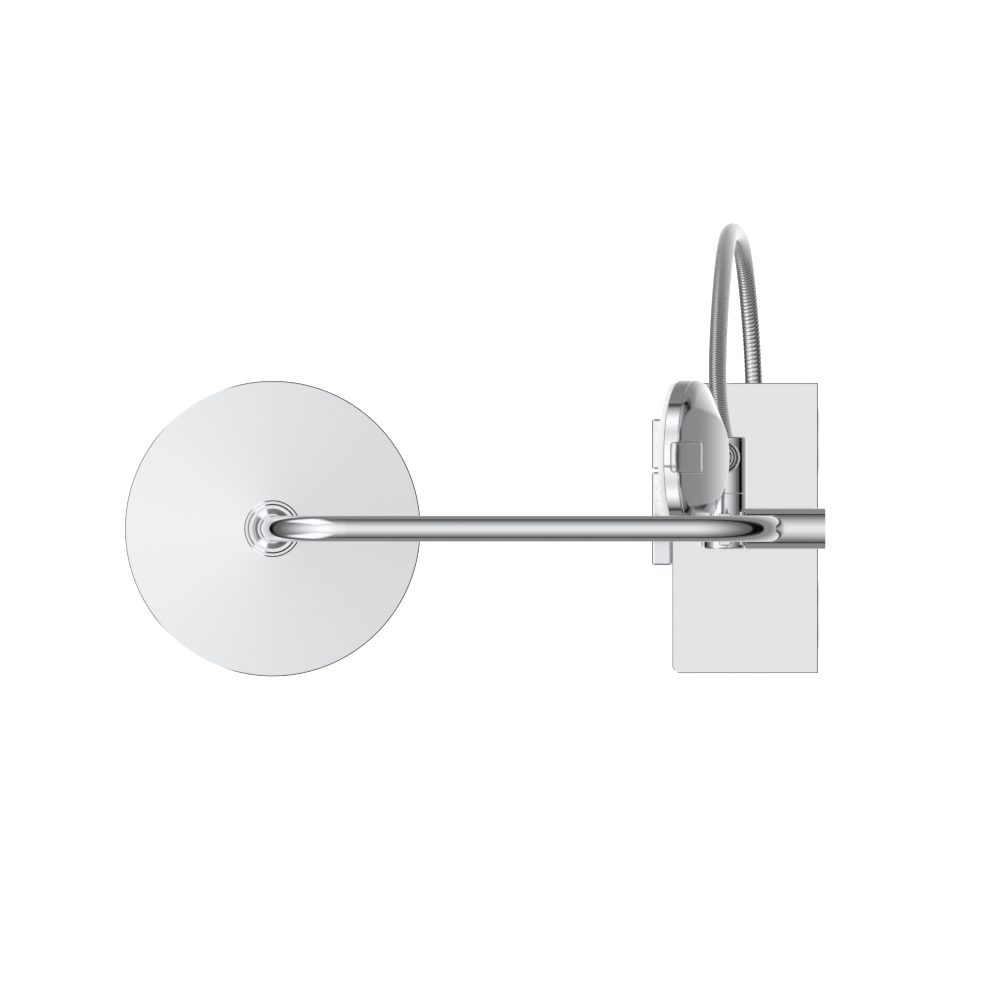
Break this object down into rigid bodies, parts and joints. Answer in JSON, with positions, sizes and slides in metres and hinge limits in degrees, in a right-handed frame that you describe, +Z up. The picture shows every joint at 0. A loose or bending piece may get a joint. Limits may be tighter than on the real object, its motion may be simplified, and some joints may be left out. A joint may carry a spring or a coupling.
{
  "type": "thermostatic shower column",
  "caption": "Wall shower column: overhead shower on a swivelling arm, hand shower on a sliding holder with hose, thermostatic mixer bar under a glass shelf.",
  "frame": {"origin": "on the wall's face, below the riser's centre line, at the height of the two inlets' axis", "axes": "+Z up along the riser, +Y into the wall, +X to the right of a person facing the wall"},
  "size_m": [0.3897, 0.5917, 1.4477],
  "materials": {
    "chrome_brass": "polished chrome plate on brass",
    "chrome_abs": "polished chrome plate on moulded ABS",
    "white_abs": "moulded gloss",
    "nozzle_silicone": "moulded silicone",
    "grey_acetal": "moulded",
    "brass": "machined",
    "steel": "plain",
    "black_rubber": "moulded",
    "mirror_glass": "silvered safety glass",
    "shelf_aluminium": "anodised",
    "hose_metal": "wound steel strip, chrome plated"
  },
  "bodies": {
    "root": {"riser_tube": "chrome_brass", "riser_seal": "black_rubber", "riser_rosette": "chrome_brass", "wall_bracket": "chrome_brass", "wall_plate": "steel", "bracket_grub_screw": "steel", "shelf_glass": "mirror_glass", "shelf_tray": "shelf_aluminium", "shelf_pads": "grey_acetal", "mixer_casing": "chrome_abs", "mixer_body": "brass", "temperature_cartridge": "brass", "hand_valve": "brass", "overhead_valve": "brass", "check_valves": "grey_acetal", "left_end_cap": "chrome_brass", "casing_end_plates": "grey_acetal", "hose_outlet": "chrome_brass", "inlet_unions": "chrome_brass", "inlet_covers": "chrome_brass", "inlet_nuts": "chrome_brass", "inlet_washers": "black_rubber", "key_springs": "steel", "hose": "hose_metal", "hose_collar_nut": "chrome_brass", "hose_lower_washer": "black_rubber"},
    "arm": {"arm_tube": "chrome_brass", "arm_spigot": "brass", "spigot_seals": "black_rubber", "arm_end_nut": "chrome_brass", "ball_stub": "chrome_brass"},
    "ball_ring": {"ball_seat": "grey_acetal"},
    "overhead_shower": {"ball_collar": "chrome_brass", "overhead_shell": "chrome_abs", "overhead_spray_plate": "white_abs", "overhead_nozzle_mat": "nozzle_silicone", "overhead_distributor": "grey_acetal", "overhead_gasket": "black_rubber"},
    "slider": {"slider_clamp": "chrome_brass", "slider_insert": "grey_acetal", "release_spring": "steel", "tilt_axle": "brass"},
    "release_key": {"release_button": "chrome_abs"},
    "holder": {"holder_barrel": "chrome_brass", "holder_end_cap": "chrome_brass", "holder_liner": "grey_acetal"},
    "hand_shower": {"handset_shell": "chrome_abs", "handset_ring": "chrome_abs", "handset_face": "white_abs", "handset_nozzles": "nozzle_silicone", "handset_backing": "grey_acetal", "handset_waterway": "grey_acetal", "hose_cone_nut": "chrome_brass", "hose_upper_washer": "black_rubber"},
    "hand_shower_key": {"handset_button": "chrome_abs"},
    "hand_key": {"hand_key": "chrome_abs"},
    "overhead_key": {"overhead_key": "chrome_abs"},
    "knob": {"temperature_knob": "chrome_brass"},
    "stop_key": {"stop_button": "chrome_abs"}
  },
  "joints": [
    {"name": "arm_swivel", "type": "hinge", "parent": "root", "child": "arm", "pos_m": [0, -0.046, 0.88], "axis": [0, 0, 1], "range_deg": [-45, 45]},
    {"name": "overhead_pitch", "type": "hinge", "parent": "arm", "child": "ball_ring", "pos_m": [0, -0.4667, 0.8716], "axis": [1, 0, 0], "range_deg": [-8, 8]},
    {"name": "overhead_roll", "type": "hinge", "parent": "ball_ring", "child": "overhead_shower", "pos_m": [0, -0.4667, 0.8716], "axis": [0, 1, 0], "range_deg": [-8, 8]},
    {"name": "slider_slide", "type": "slide", "parent": "root", "child": "slider", "axis": [0, 0, 1], "range_m": [-0.3, 0.12], "deforming": ["hose"]},
    {"name": "release_press", "type": "slide", "parent": "slider", "child": "release_key", "axis": [0, 0, -1], "range_m": [0, 0.002], "stiffness_N_per_m": 1500, "springref_m": -0.001, "deforming": ["release_spring"]},
    {"name": "holder_tilt", "type": "hinge", "parent": "slider", "child": "holder", "pos_m": [-0.0604, -0.0832, 0.56], "axis": [1, 0, 0], "range_deg": [-10, 25], "deforming": ["hose"]},
    {"name": "hand_shower_lift", "type": "slide", "parent": "holder", "child": "hand_shower", "axis": [0, -0.0872, 0.9962], "range_m": [0, 0.06], "deforming": ["hose"]},
    {"name": "hand_shower_press", "type": "slide", "parent": "hand_shower", "child": "hand_shower_key", "axis": [0, 0.225, -0.9744], "range_m": [0, 0.0008], "stiffness_N_per_m": 1500, "springref_m": -0.001},
    {"name": "hand_key_press", "type": "slide", "parent": "root", "child": "hand_key", "axis": [0, 1, 0], "range_m": [0, 0.003], "stiffness_N_per_m": 1500, "springref_m": -0.001, "deforming": ["key_springs"]},
    {"name": "overhead_key_press", "type": "slide", "parent": "root", "child": "overhead_key", "axis": [0, 1, 0], "range_m": [0, 0.003], "stiffness_N_per_m": 1500, "springref_m": -0.001, "deforming": ["key_springs"]},
    {"name": "temperature_turn", "type": "hinge", "parent": "root", "child": "knob", "pos_m": [0.098, -0.077, 0], "axis": [1, 0, 0], "range_deg": [-150, 60]},
    {"name": "stop_press", "type": "slide", "parent": "knob", "child": "stop_key", "axis": [0, 0, -1], "range_m": [0, 0.0015], "stiffness_N_per_m": 1500, "springref_m": -0.001}
  ]
}
